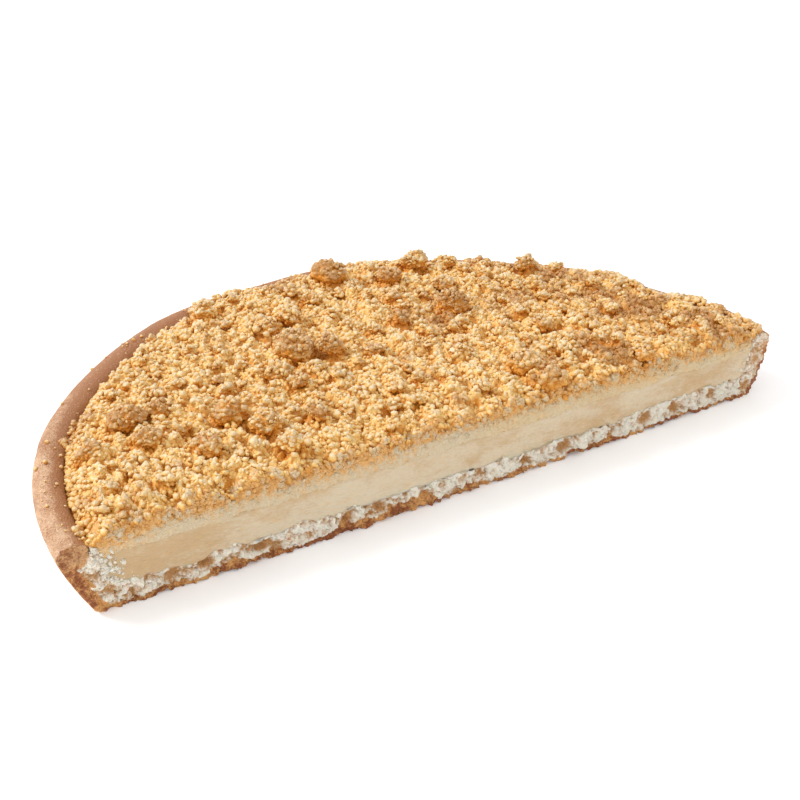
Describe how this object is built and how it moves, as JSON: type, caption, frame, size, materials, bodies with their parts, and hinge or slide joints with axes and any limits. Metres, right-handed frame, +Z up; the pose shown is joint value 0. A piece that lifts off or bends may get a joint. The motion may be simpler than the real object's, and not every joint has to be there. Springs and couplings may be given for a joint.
{
  "type": "cream crumble flan",
  "caption": "Half of a round cream crumble flan, cut side showing: dough crust with a rolled rim, cream filling and a thick baked crumble topping.",
  "frame": {"origin": "middle of the bounding box at the underside, where the flan rests", "axes": "+Z up, +X along the cut, +Y from the cut face towards the round rim"},
  "size_m": [0.28, 0.1428, 0.0393],
  "materials": {
    "crust": "baked yeast dough, matt and brown outside, pale and porous where cut",
    "cream_filling": "set cream, smooth and slightly moist",
    "crumble_topping": "baked butter crumble, dry and grainy"
  },
  "bodies": {
    "root": {"crust": "crust", "cream_filling": "cream_filling", "crumble_topping": "crumble_topping"}
  },
  "joints": []
}
